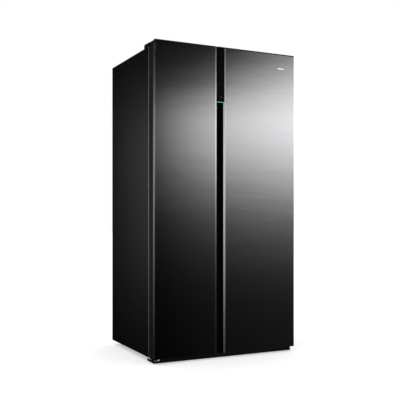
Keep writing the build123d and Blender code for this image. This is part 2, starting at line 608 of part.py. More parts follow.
def feet_and_rollers():
    for name, side in (("left", -1), ("right", 1)):
        foot = rod((side * FOOT_X, FOOT_Y, 0), 18, 8) + rod((side * FOOT_X, FOOT_Y, 8), PIN_R, 18)
        save(f"foot_{name}", foot)
        roller = rod((side * ROLLER_X - 9, ROLLER_Y, ROLLER_R), ROLLER_R, 18, "X")
        save(f"roller_{name}", roller - rod((side * ROLLER_X - 20, ROLLER_Y, ROLLER_R), 4.05, 40, "X"))


os.makedirs("parts", exist_ok=True)
cabinet_shell()
base_plate()
cabinet_inside()
toe_kick()
hinge_brackets()
hinge_covers()
shelves()
drawer_runners()
duct_panels()
evaporator()
fans()
machine_room()
lamps()
ice_maker()
drawers()
freezer_door()
fridge_door()
control_strip()
dairy_shelf()
feet_and_rollers()
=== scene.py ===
import json
import math
import bmesh
import bpy
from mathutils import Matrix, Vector

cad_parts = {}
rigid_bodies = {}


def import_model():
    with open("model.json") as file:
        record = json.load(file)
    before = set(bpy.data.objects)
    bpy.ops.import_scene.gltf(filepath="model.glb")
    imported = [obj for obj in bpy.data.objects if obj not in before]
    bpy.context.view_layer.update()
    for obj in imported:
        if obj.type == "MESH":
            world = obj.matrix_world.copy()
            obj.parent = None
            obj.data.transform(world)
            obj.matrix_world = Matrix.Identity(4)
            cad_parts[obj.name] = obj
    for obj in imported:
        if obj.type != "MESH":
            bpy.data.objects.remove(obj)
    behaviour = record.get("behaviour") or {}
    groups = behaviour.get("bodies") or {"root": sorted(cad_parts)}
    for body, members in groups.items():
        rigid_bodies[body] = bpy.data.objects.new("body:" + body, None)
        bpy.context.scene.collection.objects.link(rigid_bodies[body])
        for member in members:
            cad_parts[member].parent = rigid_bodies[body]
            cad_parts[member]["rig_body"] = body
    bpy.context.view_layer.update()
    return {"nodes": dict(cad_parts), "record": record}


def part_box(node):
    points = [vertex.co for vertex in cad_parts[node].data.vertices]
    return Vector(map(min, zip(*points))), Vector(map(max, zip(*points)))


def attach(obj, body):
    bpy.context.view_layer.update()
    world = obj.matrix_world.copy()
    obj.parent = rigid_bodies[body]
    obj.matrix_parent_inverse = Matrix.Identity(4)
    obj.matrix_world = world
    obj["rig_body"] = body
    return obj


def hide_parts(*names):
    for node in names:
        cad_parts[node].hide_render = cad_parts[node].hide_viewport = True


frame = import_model()
nodes = frame["nodes"]
scene = bpy.context.scene


# ------------------------------------------------------------ camera, lights and floor
def make_camera():
    """The photograph's view: level, from the front left."""
    data = bpy.data.cameras.new("camera")
    data.sensor_width = 36.0
    data.lens = 61.05
    data.shift_y = 0.0424
    data.clip_end = 50
    camera = bpy.data.objects.new("camera", data)
    camera.location = (-1.867, -3.767, 0.809)
    camera.rotation_euler = (math.radians(90), 0, math.radians(-26.307))
    scene.collection.objects.link(camera)
    scene.camera = camera


class Graph:
    """A node tree with short calls for the nodes that the materials share."""

    def __init__(self, tree):
        self.tree = tree
        self.nodes = tree.nodes
        self.nodes.clear()

    def add(self, kind, inputs=None, **settings):
        node = self.nodes.new(kind)
        for key, value in settings.items():
            setattr(node, key, value)
        for key, value in (inputs or {}).items():
            self.set(node, key, value)
        return node

    def set(self, node, key, value):
        if isinstance(value, bpy.types.NodeSocket):
            self.tree.links.new(value, node.inputs[key])
        elif isinstance(value, bpy.types.Node):
            self.tree.links.new(value.outputs[0], node.inputs[key])
        else:
            node.inputs[key].default_value = value

    def math(self, operation, a, b=0.0, c=0.0, clamp=False):
        node = self.add("ShaderNodeMath", operation=operation, use_clamp=clamp)
        for index, value in enumerate((a, b, c)):
            if index < len(node.inputs):
                self.set(node, index, value)
        return node.outputs[0]

    def remap(self, value, low, high, to_low=0.0, to_high=1.0, kind="LINEAR"):
        node = self.add("ShaderNodeMapRange", interpolation_type=kind)
        for key, number in (("Value", value), ("From Min", low), ("From Max", high)):
            self.set(node, key, number)
        node.inputs["To Min"].default_value = to_low
        node.inputs["To Max"].default_value = to_high
        return node.outputs[0]

    def bell(self, value, centre, width):
        """exp(-((value - centre) / width)^2)"""
        off = self.math("DIVIDE", self.math("SUBTRACT", value, centre), width)
        return self.math("EXPONENT", self.math("MULTIPLY", self.math("MULTIPLY", off, off), -1.0))


def make_world():
    """White studio: a white backdrop for the camera, and soft boxes around for reflections."""
    world = bpy.data.worlds.new("studio")
    scene.world = world
    world.use_nodes = True
    g = Graph(world.node_tree)
    xyz = g.add("ShaderNodeSeparateXYZ", {0: g.add("ShaderNodeTexCoord").outputs["Generated"]})
    x, y, z = xyz.outputs
    level = g.math("SQRT", g.math("ADD", g.math("MULTIPLY", x, x), g.math("MULTIPLY", y, y)))
    rise = g.math("DEGREES", g.math("ARCTAN2", z, level))
    turn = g.math("DEGREES", g.math("ARCTAN2", x, g.math("MULTIPLY", y, -1.0)))
    side = g.math("ABSOLUTE", turn)
    middle = 8.3  # degrees above the horizon of the main soft box's middle
    # the main soft box stands front right, a little above the horizon
    right = g.math("ADD", g.remap(turn, 21.7, 27.8, 0.0, 2.9), g.remap(turn, 27.8, 40.0, 0.0, 2.9))
    right = g.math("MULTIPLY", right, g.remap(turn, 70.0, 110.0, 1.0, 0.15))
    over = g.bell(rise, middle, g.remap(turn, 26.0, 35.0, 1.8, 4.4))
    under = g.bell(rise, middle, g.remap(turn, 24.0, 33.0, 4.6, 5.5))
    upper = g.math("GREATER_THAN", rise, middle)
    band = g.add("ShaderNodeMix", {"Factor": upper, "A": under, "B": over}).outputs[0]
    band = g.math("ADD", band, g.math("MULTIPLY", g.bell(rise, 1.0, 5.5), 0.045))
    band = g.math("ADD", band, g.math("MULTIPLY", g.bell(rise, -10.0, 4.0), 0.007))
    main = g.math("MULTIPLY", band, right)
    # a lower one stands front left
    left = g.math("MULTIPLY", g.remap(turn, -100.0, -75.0), g.remap(turn, -60.0, -20.0, 1.0, 0.0))
    fill = g.math("ADD", g.bell(rise, 7.0, 4.5), g.math("MULTIPLY", g.bell(rise, 0.0, 6.5), 0.7))
    fill = g.math("MULTIPLY", g.math("MULTIPLY", fill, left), 1.3)
    core = g.math("MULTIPLY", g.bell(turn, -38.0, 14.0), g.bell(rise, 1.0, 8.0))
    fill = g.math("ADD", fill, g.math("MULTIPLY", core, 2.4))
    # and two faint ones stand behind, left and right
    behind = g.remap(side, 161.2, 157.2)
    behind = g.math("MULTIPLY", behind, g.remap(side, 108.0, 135.0))
    high = g.math("MULTIPLY", g.bell(rise, 6.5, 4.5), 0.45)
    low = g.math("MULTIPLY", g.bell(rise, 0.5, 7.0), 0.5)
    glow = g.math("MULTIPLY", g.math("ADD", high, low), behind)
    total = g.math("ADD", g.math("ADD", main, glow), fill)
    # a weak ceiling and ground glow, clear of the level directions that the doors mirror
    total = g.math("ADD", total, g.remap(rise, 30.0, 55.0, 0.0, 0.3))
    total = g.math("ADD", total, g.remap(rise, -25.0, -50.0, 0.0, 0.2))
    paths = g.add("ShaderNodeLightPath")
    dark = g.add("ShaderNodeBackground", {"Strength": total})
    soft = g.add("ShaderNodeBackground", {"Color": (1, 1, 1, 1), "Strength": 0.9})
    white = g.add("ShaderNodeBackground", {"Color": (1, 1, 1, 1), "Strength": 1.0})
    shown = g.add("ShaderNodeMixShader", {0: paths.outputs["Is Glossy Ray"], 1: soft, 2: dark})
    shown = g.add("ShaderNodeMixShader", {0: paths.outputs["Is Camera Ray"], 1: shown, 2: white})
    g.add("ShaderNodeOutputWorld", {"Surface": shown})


def make_floor():
    """A plain pale floor that is left out of reflections and lifted a little to blend with the backdrop."""
    mesh = bpy.data.meshes.new("floor")
    size = 30.0
    corners = [(-size, -size, 0), (size, -size, 0), (size, size, 0), (-size, size, 0)]
    mesh.from_pydata(corners, [], [(0, 1, 2, 3)])
    floor = bpy.data.objects.new("floor", mesh)
    floor.visible_glossy = False
    scene.collection.objects.link(floor)
    material = bpy.data.materials.new("pale_floor")
    material.use_nodes = True
    g = Graph(material.node_tree)
    matte = g.add("ShaderNodeBsdfDiffuse", {"Color": (0.9, 0.9, 0.9, 1)})
    lift = g.add("ShaderNodeEmission", {"Color": (1, 1, 1, 1), "Strength": 0.42})
    g.add("ShaderNodeOutputMaterial", {"Surface": g.add("ShaderNodeAddShader", {0: matte, 1: lift})})
    mesh.materials.append(material)


# ------------------------------------------------------------ materials
def surface(name, colour, metallic=0.0, roughness=0.4, **more):
    """A new material with a principled shader, and the graph to build on."""
    material = bpy.data.materials.new(name)
    material.use_nodes = True
    g = Graph(material.node_tree)
    shader = g.add("ShaderNodeBsdfPrincipled")
    shader.inputs["Metallic"].default_value = metallic
    g.set(shader, "Base Color", colour if isinstance(colour, bpy.types.NodeSocket) else (*colour, 1))
    g.set(shader, "Roughness", roughness)
    for key, value in more.items():
        g.set(shader, key.replace("_", " "), value)
    g.add("ShaderNodeOutputMaterial", {"Surface": shader})
    return material, g, shader


def place(g, scale):
    """Coordinates fixed to the piece, stretched by a scale for each axis."""
    coordinates = g.add("ShaderNodeTexCoord").outputs["Object"]
    return g.add("ShaderNodeMapping", {"Vector": coordinates, "Scale": scale}).outputs[0]


def noise(g, scale, stretch=(1, 1, 1), detail=3.0):
    return g.add(
        "ShaderNodeTexNoise", {"Vector": place(g, stretch), "Scale": scale, "Detail": detail}
    ).outputs["Fac"]


def bump(g, shader, height, strength, distance=0.0005):
    node = g.add("ShaderNodeBump", {"Height": height, "Strength": strength, "Distance": distance})
    g.set(shader, "Normal", node.outputs[0])


def tinted(g, factor, dark, light):
    """A colour that varies a little between two tones."""
    node = g.add("ShaderNodeMix", {"Factor": factor}, data_type="RGBA")
    node.inputs["A"].default_value = (*dark, 1)
    node.inputs["B"].default_value = (*light, 1)
    return node.outputs["Result"]


def dark_steel():
    """Dark stainless sheet with a fine horizontal brushing."""
    material, g, shader = surface("dark_steel", (0.24, 0.24, 0.243), 1.0, 0.11)
    fine = noise(g, 1.0, (6, 1, 900), 4.0)
    broad = noise(g, 1.0, (1.2, 1, 9), 2.0)
    g.set(shader, "Base Color", tinted(g, broad, (0.225, 0.226, 0.23), (0.255, 0.256, 0.259)))
    g.set(shader, "Roughness", g.remap(fine, 0.3, 0.7, 0.1, 0.13))
    swell = noise(g, 1.0, (1.5, 1, 7), 3.0)
    slow = g.add("ShaderNodeBump", {"Height": swell, "Strength": 0.5, "Distance": 0.0006})
    quick = g.add("ShaderNodeBump", {"Height": fine, "Strength": 0.02, "Distance": 0.0005, "Normal": slow})
    g.set(shader, "Normal", quick.outputs[0])
    return material


def satin_metal(name, colour, roughness, lines=0.08):
    """Satin metal drawn along its length."""
    material, g, shader = surface(name, colour, 1.0, roughness)
    fine = noise(g, 1.0, (900, 900, 8), 3.0)
    g.set(shader, "Roughness", g.remap(fine, 0.3, 0.7, roughness * (1 - lines), roughness * (1 + lines)))
    bump(g, shader, fine, lines)
    return material


def cabinet_paint():
    """Dark powder coat with a faint texture."""
    material, g, shader = surface("cabinet_paint", (0.003, 0.003, 0.0033), 0.0, 0.1, Specular_IOR_Level=0.1)
    grain = noise(g, 900.0, detail=2.0)
    cloud = noise(g, 5.0)
    g.set(shader, "Base Color", tinted(g, cloud, (0.0024, 0.0024, 0.0027), (0.0035, 0.0035, 0.0039)))
    g.set(shader, "Roughness", g.remap(grain, 0.3, 0.7, 0.08, 0.12))
    bump(g, shader, grain, 0.03)
    return material


def moulded(name, colour, roughness, grain=0.1, shine=0.5):
    """Moulded plastic with a fine spark-eroded grain."""
    material, g, shader = surface(name, colour, 0.0, roughness, Specular_IOR_Level=shine)
    pits = noise(g, 1400.0, detail=2.0)
    cloud = noise(g, 7.0)
    darker = tuple(c * 0.93 for c in colour)
    g.set(shader, "Base Color", tinted(g, cloud, darker, colour))
    g.set(shader, "Roughness", g.remap(pits, 0.3, 0.7, roughness * 0.88, roughness * 1.12))
    bump(g, shader, pits, grain)
    return material


def rolled_metal(name, colour, roughness):
    """Plain sheet steel or aluminium with rolling marks and a mottled zinc bloom."""
    material, g, shader = surface(name, colour, 1.0, roughness)
    bloom = g.add("ShaderNodeTexVoronoi", {"Vector": place(g, (1, 1, 1)), "Scale": 60.0}).outputs["Distance"]
    lines = noise(g, 1.0, (500, 500, 12))
    darker = tuple(c * 0.85 for c in colour)
    g.set(shader, "Base Color", tinted(g, bloom, darker, colour))
    g.set(shader, "Roughness", g.remap(lines, 0.3, 0.7, roughness * 0.85, roughness * 1.15))
    return material


def clear(name, colour, roughness, ior, density):
    """Clear glass or plastic, seen through with a slight tint."""
    material = bpy.data.materials.new(name)
    material.use_nodes = True
    g = Graph(material.node_tree)
    shader = g.add("ShaderNodeBsdfPrincipled")
    cloud = noise(g, 30.0)
    shader.inputs["Base Color"].default_value = (*colour, 1)
    shader.inputs["IOR"].default_value = ior
    shader.inputs["Alpha"].default_value = density
    g.set(shader, "Roughness", g.remap(cloud, 0.3, 0.7, roughness * 0.8, roughness * 1.2))
    g.add("ShaderNodeOutputMaterial", {"Surface": shader})
    return material


def glowing(name, colour, strength):
    material, g, shader = surface(name, colour, 0.0, 0.3)
    shader.inputs["Emission Color"].default_value = (*colour, 1)
    shader.inputs["Emission Strength"].default_value = strength
    cloud = noise(g, 200.0)
    g.set(shader, "Roughness", g.remap(cloud, 0.3, 0.7, 0.25, 0.35))
    return material


def make_materials():
    return {
        "dark_steel": dark_steel(),
        "bright_profile": satin_metal("bright_profile", (0.44, 0.442, 0.445), 0.15),
        "cabinet_paint": cabinet_paint(),
        "galvanised_steel": rolled_metal("galvanised_steel", (0.55, 0.56, 0.57), 0.42),
        "black_plastic": moulded("black_plastic", (0.003, 0.003, 0.0033), 0.4, 0.1, 0.2),
        "gloss_black": moulded("gloss_black", (0.002, 0.002, 0.0022), 0.2, 0.01, 0.03),
        "light_diffuser": glowing("light_diffuser", (0.05, 0.4, 0.25), 0.35),
        "chrome_trim": rolled_metal("chrome_trim", (0.8, 0.8, 0.81), 0.12),
        "white_liner": moulded("white_liner", (0.8, 0.81, 0.82), 0.3, 0.04),
        "white_plastic": moulded("white_plastic", (0.78, 0.79, 0.8), 0.42),
        "clear_plastic": clear("clear_plastic", (0.86, 0.92, 0.95), 0.12, 1.5, 0.32),
        "shelf_glass": clear("shelf_glass", (0.75, 0.9, 0.86), 0.05, 1.5, 0.3),
        "grey_gasket": moulded("grey_gasket", (0.11, 0.11, 0.115), 0.6),
        "foam": moulded("foam", (0.72, 0.62, 0.36), 0.8, 0.5),
        "fin_aluminium": rolled_metal("fin_aluminium", (0.72, 0.73, 0.74), 0.34),
        "compressor_paint": moulded("compressor_paint", (0.012, 0.012, 0.013), 0.3),
        "black_rubber": moulded("black_rubber", (0.015, 0.015, 0.015), 0.7, 0.3),
        "lamp_diffuser": glowing("lamp_diffuser", (0.95, 0.95, 0.9), 0.6),
        "board_cover": moulded("board_cover", (0.25, 0.255, 0.26), 0.5),
        "red_lamp": glowing("red_lamp", (0.25, 0.005, 0.01), 0.25),
        "frame_paint": satin_metal("frame_paint", (0.25, 0.25, 0.255), 0.26, 0.015),
        "faint_print": moulded("faint_print", (0.006, 0.006, 0.0065), 0.5, 0.02, 0.1),
        "copper": rolled_metal("copper", (0.62, 0.3, 0.18), 0.3),
    }


def paint_nodes(materials):
    """Gives each CAD node the finish of its slot."""
    for entry in frame["record"]["subparts"]:
        mesh = nodes[entry["node"]].data
        mesh.materials.clear()
        mesh.materials.append(materials[entry["material_slot"]])


# ------------------------------------------------------------ building pieces in mesh code
SLOTS = {entry["node"]: entry["material_slot"] for entry in frame["record"]["subparts"]}
SHARP = math.radians(26)
MM = 0.001


def piece(name, bm, slot, body, replaced=()):
    """Turns a finished mesh into a piece that rides on a CAD body."""
    bmesh.ops.recalc_face_normals(bm, faces=bm.faces)
    for face in bm.faces:
        face.smooth = True
    for edge in bm.edges:
        edge.smooth = len(edge.link_faces) == 2 and edge.calc_face_angle(0) < SHARP
    mesh = bpy.data.meshes.new(name)
    bm.to_mesh(mesh)
    bm.free()
    mesh.materials.append(materials[slot])
    obj = bpy.data.objects.new(name, mesh)
    scene.collection.objects.link(obj)
    weighted = obj.modifiers.new("normals", "WEIGHTED_NORMAL")
    weighted.keep_sharp = True
    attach(obj, body)
    if replaced:
        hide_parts(*replaced)
    return obj


def body_of(node):
    return nodes[node]["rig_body"]


def stand_in(node, bm, name=None):
    """A piece that stands for one CAD node, with its finish and on its body."""
    return piece(name or f"{node}_shape", bm, SLOTS[node], body_of(node), (node,))


def round_edges(bm, width, segments=2, edges=None):
    """Rounds the sharp edges of a mesh, or the ones given."""
    if edges is None:
        edges = [e for e in bm.edges if len(e.link_faces) == 2 and e.calc_face_angle(0) > math.radians(34)]
    bmesh.ops.bevel(
        bm, geom=edges, offset=width, segments=segments, profile=0.5, affect="EDGES", clamp_overlap=True
    )


def soften(node, width, segments=2):
    """The CAD node with its edges rounded, as moulding and pressing leave them."""
    bm = bmesh.new()
    bm.from_mesh(nodes[node].data)
    bmesh.ops.remove_doubles(bm, verts=bm.verts, dist=2e-5)
    bmesh.ops.dissolve_limit(bm, angle_limit=math.radians(1), verts=bm.verts, edges=bm.edges)
    round_edges(bm, width * MM, segments)
    low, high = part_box(node)
    for vert in bm.verts:
        vert.co = Vector(min(max(vert.co[k], low[k]), high[k]) for k in range(3))
    return stand_in(node, bm)


def add_slab(bm, x, y, z, width=0.6, segments=2):
    """Adds a block with rounded edges, between limits in millimetres."""
    made = bmesh.ops.create_cube(bm, size=1.0)["verts"]
    for vert in made:
        for axis, limits in enumerate((x, y, z)):
            share = vert.co[axis] + 0.5
            vert.co[axis] = (limits[0] + share * (limits[1] - limits[0])) * MM
    edges = {edge for vert in made for edge in vert.link_edges}
    if width:
        round_edges(bm, width * MM, segments, list(edges))


def add_turned(bm, centre, axis, profile, sides=32):
    """Adds a turned shape: (radius, height) points around an axis through centre, in millimetres."""
    order = {"X": (1, 2, 0), "Y": (2, 0, 1), "Z": (0, 1, 2)}[axis]
    rings = []
    for radius, height in profile:
        ring = []
        for k in range(sides if radius > 0 else 1):
            angle = 2 * math.pi * k / sides
            local = (radius * math.cos(angle), radius * math.sin(angle), height)
            point = [0.0, 0.0, 0.0]
            for value, slot in zip(local, order):
                point[slot] = (centre[slot] + value) * MM
            ring.append(bm.verts.new(point))
        rings.append(ring)
    for low, high in zip(rings, rings[1:]):
        for k in range(sides):
            corners = [low[k % len(low)], low[(k + 1) % len(low)]]
            corners += [high[(k + 1) % len(high)], high[k % len(high)]]
            unique = list(dict.fromkeys(corners))
            if len(unique) > 2:
                bm.faces.new(unique)
    for ring in (rings[0], rings[-1]):
        if len(ring) > 2:
            bm.faces.new(ring)


def add_tube(bm, path, radius, sides=10):
    """Adds a tube of one radius along points in millimetres."""
    points = [Vector(p) * MM for p in path]
    rings = []
    across = None
    for k, point in enumerate(points):
        ahead = (points[min(k + 1, len(points) - 1)] - points[max(k - 1, 0)]).normalized()
        if across is None:
            across = ahead.orthogonal().normalized()
        across = (across - ahead * across.dot(ahead)).normalized()
        other = ahead.cross(across)
        ring = []
        for n in range(sides):
            angle = 2 * math.pi * n / sides
            offset = across * math.cos(angle) + other * math.sin(angle)
            ring.append(bm.verts.new(point + offset * radius * MM))
        rings.append(ring)
    for low, high in zip(rings, rings[1:]):
        for n in range(sides):
            bm.faces.new((low[n], low[(n + 1) % sides], high[(n + 1) % sides], high[n]))
    bm.faces.new(rings[0])
    bm.faces.new(rings[-1])


def arc(centre, radius, start, end, plane, steps=8):
    """Points on an arc, in degrees, in one of the planes XY, XZ or YZ."""
    first, second = {"XY": (0, 1), "XZ": (0, 2), "YZ": (1, 2)}[plane]
    points = []
    for k in range(steps + 1):
        angle = math.radians(start + (end - start) * k / steps)
        point = list(centre)
        point[first] += radius * math.cos(angle)
        point[second] += radius * math.sin(angle)
        points.append(tuple(point))
    return points


def rounded_loop(x, y, radius, steps=5):
    """The corners of a rounded rectangle, in order."""
    radius = max(radius, 0.3)
    points = []
    for cx, cy, start in (
        (x[1] - radius, y[0] + radius, -90),
        (x[1] - radius, y[1] - radius, 0),
        (x[0] + radius, y[1] - radius, 90),
        (x[0] + radius, y[0] + radius, 180),
    ):
        points += [p[:2] for p in arc((cx, cy, 0), radius, start, start + 90, "XY", steps)]
    return points


def add_lofted(bm, loops):
    """Adds a skin through loops of equal length, closed at the first and the last."""
    rings = [[bm.verts.new(Vector(p) * MM) for p in loop] for loop in loops]
    count = len(rings[0])
    for low, high in zip(rings, rings[1:]):
        for k in range(count):
            bm.faces.new((low[k], low[(k + 1) % count], high[(k + 1) % count], high[k]))
    bm.faces.new(rings[0])
    bm.faces.new(rings[-1])


def add_tub(bm, x, y, z, wall=2.4, radius=12.0, draft=3.0):
    """Adds an open moulded box with rounded corners, drafted walls and a beaded rim."""

    def loop(inset, height, corner):
        flat = rounded_loop((x[0] + inset, x[1] - inset), (y[0] + inset, y[1] - inset), corner)
        return [(px, py, height) for px, py in flat]

    add_lofted(
        bm,
        [
            loop(draft + 5, z[0], radius - 3),
            loop(draft + 1.5, z[0] + 1.5, radius),
            loop(draft, z[0] + 5, radius),
            loop(1.4, z[1] - 7, radius),
            loop(0.2, z[1] - 6, radius + 1),
            loop(0.0, z[1] - 1, radius + 1),
            loop(0.8, z[1], radius),
            loop(wall - 0.6, z[1], radius - 1),
            loop(wall + 0.2, z[1] - 1, radius - 1.5),
            loop(draft + wall, z[0] + 6, radius - 2),
            loop(draft + wall + 4, z[0] + 2.6, radius - 4),
        ],
    )


def limits(node):
    """A CAD node's box in millimetres, as three pairs."""
    low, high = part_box(node)
    return [(low[k] / MM, high[k] / MM) for k in range(3)]


def mesh_islands(node):
    """The boxes of a CAD node's separate solids, in millimetres, from the bottom up."""
    bm = bmesh.new()
    bm.from_mesh(nodes[node].data)
    bmesh.ops.remove_doubles(bm, verts=bm.verts, dist=2e-5)
    left, found = set(bm.verts), []
    while left:
        group, queue = [], [left.pop()]
        while queue:
            vert = queue.pop()
            group.append(vert.co.copy())
            for edge in vert.link_edges:
                other = edge.other_vert(vert)
                if other in left:
                    left.remove(other)
                    queue.append(other)
        pairs = [(min(p[k] for p in group) / MM, max(p[k] for p in group) / MM) for k in range(3)]
        found.append(pairs)
    bm.free()
    return sorted(found, key=lambda pairs: (round(pairs[2][0], 1), round(pairs[0][0], 1)))


# ------------------------------------------------------------ doors
def gasket(node):
    """A magnetic door seal: base, folded bellows and magnet strip, mitred at its corners."""
    x, y, z = limits(node)
    y0, y1 = y
    section = [(1, 0), (1, 2.4), (4, 3.4), (2.4, 4.6), (5, 5.8), (2, 6.8), (2, 10.2), (3, 10.6), (13, 10.6)]
    section += [(14, 10.2), (14, 6.8), (11, 5.8), (13.6, 4.6), (12, 3.4), (15, 2.4), (15, 0)]
    bm = bmesh.new()
    rings = []
    for inset, rise in section:
        depth = min(y0 + rise, y1)
        ring = []
        for px, pz in (
            (x[0] + inset, z[0] + inset),
            (x[1] - inset, z[0] + inset),
            (x[1] - inset, z[1] - inset),
            (x[0] + inset, z[1] - inset),
        ):
            ring.append(bm.verts.new(Vector((px, depth, pz)) * MM))
        rings.append(ring)
    for low, high in zip(rings, rings[1:] + rings[:1]):
        for k in range(4):
            bm.faces.new((low[k], low[(k + 1) % 4], high[(k + 1) % 4], high[k]))
    stand_in(node, bm)


def door_bins(node, cheeks=False):
    """Moulded bins with ribs along their fronts."""
    bm = bmesh.new()
    for x, y, z in mesh_islands(node):
        top = z[0] + 110
        add_tub(bm, x, y, (z[0], top), 2.4, 14)
        for height in (24, 34, 44):
            bar = (z[0] + height, z[0] + height + 4)
            add_slab(bm, (x[0] + 26, x[1] - 26), (y[1] - 3.2, y[1] - 0.6), bar, 1.0)
        if cheeks and z[1] > top + 1:
            for edge in ((x[0], x[0] + 4), (x[1] - 4, x[1])):
                add_slab(bm, edge, (y[0], y[1]), (top - 8, z[1]), 1.2)
    stand_in(node, bm)


def emblem():
    """A plain domed badge with a rim."""
    x, y, z = limits("emblem")
    bm = bmesh.new()
    radius = (z[1] - z[0]) / 2
    loops = []
    rim = [(0.0, y[1]), (0.0, y[0] + 0.35), (0.3, y[0] + 0.05), (0.8, y[0]), (1.1, y[0] + 0.25)]
    for inset, depth in rim:
        across = (x[0] + inset, x[1] - inset)
        flat = rounded_loop(across, (z[0] + inset, z[1] - inset), radius - inset - 0.1)
        loops.append([(px, depth, pz) for px, pz in flat])
    flat = rounded_loop((x[0] + 2.6, x[1] - 2.6), (z[0] + 2.6, z[1] - 2.6), radius - 2.7)
    loops.append([(px, y[0] + 0.05, pz) for px, pz in flat])
    add_lofted(bm, loops)
    stand_in("emblem", bm)


def panel_signs():
    """Unlit touch symbols on the control strip, a small red lamp and a sensor below the light bar."""
    x, y, _ = limits("control_panel")
    centre, face = (x[0] + x[1]) / 2 - 1, y[0]
    depth = (face - 0.25, face + 0.3)
    bm = bmesh.new()
    for row, height in enumerate((1530, 1572, 1614, 1656)):
        for turn in range(24):
            angle = 2 * math.pi * turn / 24
            px, pz = centre + 6 * math.cos(angle), height + 6 * math.sin(angle)
            add_slab(bm, (px - 0.7, px + 0.7), depth, (pz - 0.7, pz + 0.7), 0.1, 1)
        for bar in range(row + 1):
            low = height - 2.5 + bar * 1.8
            add_slab(bm, (centre - 2.5, centre + 2.5), depth, (low, low + 0.8), 0.1, 1)
    signs = piece("control_panel_signs", bm, "board_cover", "fridge_door")
    signs.data.materials[0] = materials["faint_print"]
    bm = bmesh.new()
    spot = (centre + 3, 0, 1493)
    add_turned(bm, spot, "Y", [(2.4, face + 0.3), (2.4, face - 0.2), (1.6, face - 0.4), (0, face - 0.45)], 20)
    lamp = piece("control_panel_lamp", bm, "light_diffuser", "fridge_door")
    lamp.data.materials[0] = materials["red_lamp"]
    grip = limits("fridge_door_grip")
    floor = grip[1][1] - 2
    bm = bmesh.new()
    spot = (centre + 1, 0, 1441)
    add_turned(bm, spot, "Y", [(4, floor + 0.5), (4, floor - 0.6), (3, floor - 1.2), (0, floor - 1.3)], 20)
    piece("channel_sensor", bm, "board_cover", "fridge_door")


def build_doors():
    for name in ("freezer_door", "fridge_door"):
        gasket(f"{name}_gasket")
        soften(f"{name}_frame", 0.5)
        soften(f"{name}_liner", 3.0, 3)
        soften(f"{name}_profiles", 0.25)
        soften(f"{name}_skin", 0.2, 1)
    door_bins("freezer_door_bins")
    door_bins("fridge_door_bins", cheeks=True)
    soften("fridge_door_grip", 0.4)
    soften("control_panel", 0.3)
    soften("light_bar", 0.3)
    soften("dairy_flap", 0.9)
    emblem()
    panel_signs()


# ------------------------------------------------------------ inside the cabinet
def cavity(node, step=(90.0, 300.0), radius=12.0):
    """The inside of a cold compartment, with rounded corners and a thin rim at its open front."""
    x, y, z = limits(node)
    wall = 1.6
    x, z = (x[0] + wall, x[1] - wall), (z[0] + wall, z[1] - wall)
    front, rear = y[0], y[1] - wall
    outline = [(front, z[0]), (step[0], z[0]), (step[0], step[1])]
    outline += [(rear, step[1]), (rear, z[1]), (front, z[1])]
    bm = bmesh.new()
    sides = [[bm.verts.new(Vector((px, py, pz)) * MM) for py, pz in outline] for px in x]
    bm.faces.new(sides[0])
    bm.faces.new(sides[1])
    count = len(outline)
    for k in range(count):
        bm.faces.new((sides[0][k], sides[0][(k + 1) % count], sides[1][(k + 1) % count], sides[1][k]))
    bmesh.ops.recalc_face_normals(bm, faces=bm.faces)
    limit = front * MM + 1e-5
    opening = [f for f in bm.faces if all(v.co.y < limit for v in f.verts)]
    bmesh.ops.delete(bm, geom=opening, context="FACES_ONLY")
    rim = [e for e in bm.edges if all(v.co.y < limit for v in e.verts)]
    round_edges(bm, radius * MM, 4, [e for e in bm.edges if e not in rim])
    rim = [e for e in bm.edges if e.is_boundary]
    middle = ((x[0] + x[1]) / 2 * MM, (z[0] + z[1]) / 2 * MM)
    made = bmesh.ops.extrude_edge_only(bm, edges=rim)["geom"]
    for vert in [v for v in made if isinstance(v, bmesh.types.BMVert)]:
        vert.co.x += math.copysign(wall * MM, vert.co.x - middle[0])
        vert.co.z += math.copysign(wall * MM, vert.co.z - middle[1])
    obj = stand_in(node, bm)
    for polygon in obj.data.polygons[:1]:
        inside = Vector((middle[0], 0.0, middle[1])) - polygon.center
        if polygon.normal.dot(inside) < 0:
            obj.data.flip_normals()


def shelf_trims():
    """Plastic nosings along the front edges of the glass shelves, flush where a box slides over them."""
    for node, lip in (("freezer_shelves", 0.0), ("fridge_shelves", 1.5)):
        soften(node, 0.8)
        bm = bmesh.new()
        for x, y, z in mesh_islands(node):
            add_slab(bm, x, (y[0] - 3, y[0] + 12), (z[0] - 4, z[0] - 0.2), 1.2, 3)
            add_slab(bm, x, (y[0] - 3, y[0] - 0.3), (z[0] - 4, z[1] + lip - 0.2), 1.0, 3)
            if lip:
                add_slab(bm, x, (y[0] - 3, y[0] + 9), (z[1] + 0.1, z[1] + lip), 0.6, 2)
        piece(f"{node}_trims", bm, "white_plastic", "cabinet")


def drawer(node):
    """A moulded drawer: ribbed tub, side flanges, a tall front with a finger lip."""
    x, y, z = limits(node)
    wide = (x[0] + 10, x[1] - 10)
    face = (y[0] + 12, y[0] + 17)
    bm = bmesh.new()
    add_tub(bm, wide, (face[1] - 1, y[1]), (z[0], z[1] - 8), 2.5, 14, 4)
    for edge in ((x[0], wide[0] + 3), (wide[1] - 3, x[1])):
        add_slab(bm, edge, (face[1] - 1, y[1]), (z[1] - 10, z[1] - 7.5), 0.8)
    add_slab(bm, (x[0] + 3, x[1] - 3), face, z, 2.2, 3)
    add_slab(bm, (x[0] + 12, x[1] - 12), (face[0] - 1.2, face[0] + 0.4), (z[0] + 8, z[0] + 14), 0.5)
    lip = (wide[0] + 40, wide[1] - 40)
    add_slab(bm, lip, (y[0], face[0] + 1), (z[1] - 24, z[1] - 20), 1.6, 3)
    add_slab(bm, lip, (y[0], y[0] + 3), (z[1] - 34, z[1] - 20), 1.2, 3)
    stand_in(node, bm)


